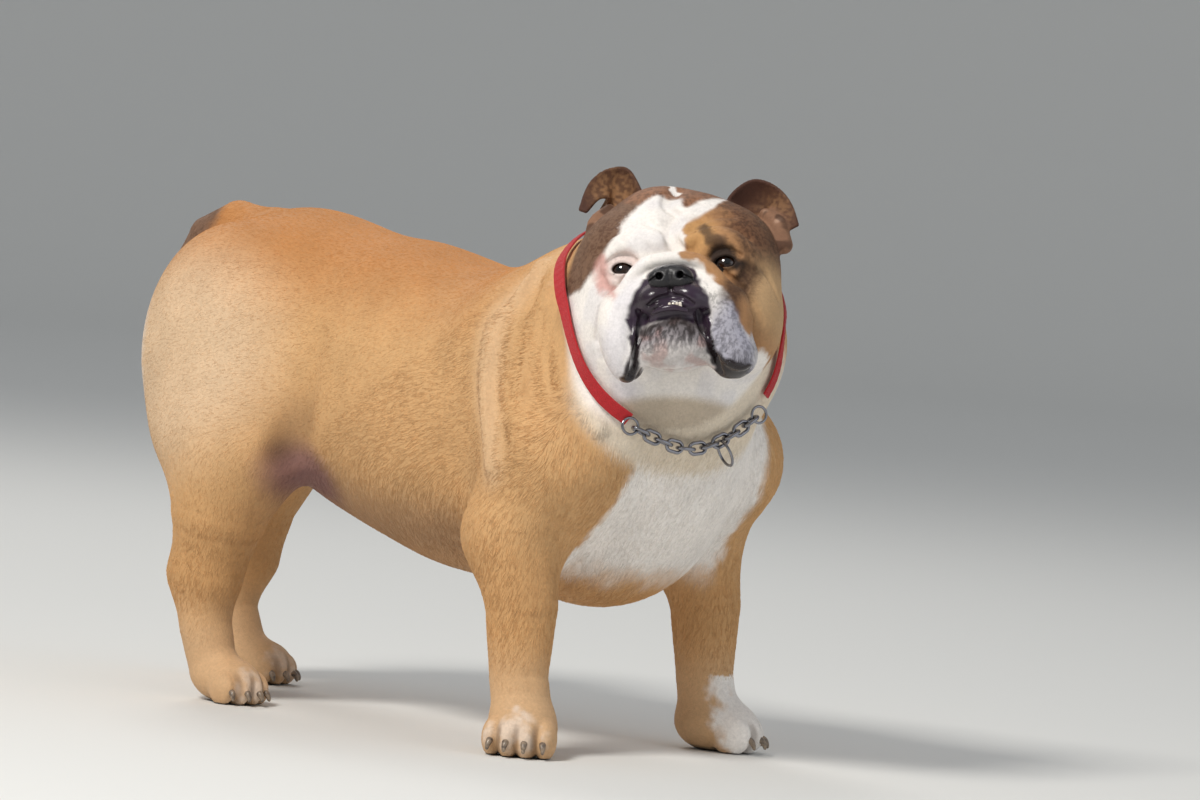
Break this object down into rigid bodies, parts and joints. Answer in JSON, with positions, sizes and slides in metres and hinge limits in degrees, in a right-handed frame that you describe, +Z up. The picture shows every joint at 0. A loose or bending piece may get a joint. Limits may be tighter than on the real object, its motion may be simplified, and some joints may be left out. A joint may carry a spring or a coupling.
{
  "type": "standing english bulldog model",
  "caption": "Life-size English bulldog standing square with its head raised and turned to its right, wearing a red webbing and steel chain collar.",
  "frame": {"origin": "centre of the bounding box at floor level, below the belly", "axes": "+Z up, -Y the way the body faces, +X the dog's left side; the head is turned towards -X"},
  "size_m": [0.3284, 0.7006, 0.4566],
  "materials": {
    "fawn_coat": "short dense hair, soft satin",
    "white_coat": "short dense white hair",
    "cream_coat": "short pale hair on the paws",
    "dark_brown_ear": "thin dark hair",
    "grey_brown_tail": "thin worn hair",
    "black_nose_leather": "moist, pebbled, satin",
    "dark_brown_eye": "wet gloss",
    "dark_horn": "worn horn",
    "tooth_ivory": "smooth",
    "red_webbing": "ribbed woven nylon",
    "polished_steel": "polished"
  },
  "bodies": {
    "root": {"chain_link_01": "polished_steel", "chain_link_02": "polished_steel", "chain_link_03": "polished_steel", "chain_link_04": "polished_steel", "chain_link_05": "polished_steel", "chain_link_06": "polished_steel", "chain_link_07": "polished_steel", "chain_link_08": "polished_steel", "chain_link_09": "polished_steel", "chain_link_10": "polished_steel", "chain_link_11": "polished_steel", "claw_fore_left_1": "dark_horn", "claw_fore_left_2": "dark_horn", "claw_fore_left_3": "dark_horn", "claw_fore_left_4": "dark_horn", "claw_fore_right_1": "dark_horn", "claw_fore_right_2": "dark_horn", "claw_fore_right_3": "dark_horn", "claw_fore_right_4": "dark_horn", "claw_hind_left_1": "dark_horn", "claw_hind_left_2": "dark_horn", "claw_hind_left_3": "dark_horn", "claw_hind_left_4": "dark_horn", "claw_hind_right_1": "dark_horn", "claw_hind_right_2": "dark_horn", "claw_hind_right_3": "dark_horn", "claw_hind_right_4": "dark_horn", "collar_strap": "red_webbing", "ear_left": "dark_brown_ear", "ear_right": "dark_brown_ear", "end_ring_far": "polished_steel", "end_ring_near": "polished_steel", "eye_left": "dark_brown_eye", "eye_right": "dark_brown_eye", "foreleg_left": "fawn_coat", "foreleg_right": "fawn_coat", "forepaw_left": "white_coat", "forepaw_right": "cream_coat", "head": "white_coat", "hindleg_left": "fawn_coat", "hindleg_right": "fawn_coat", "hindpaw_left": "cream_coat", "hindpaw_right": "cream_coat", "lead_ring": "polished_steel", "neck": "fawn_coat", "nose": "black_nose_leather", "tail": "grey_brown_tail", "teeth": "tooth_ivory", "torso": "fawn_coat"}
  },
  "joints": []
}
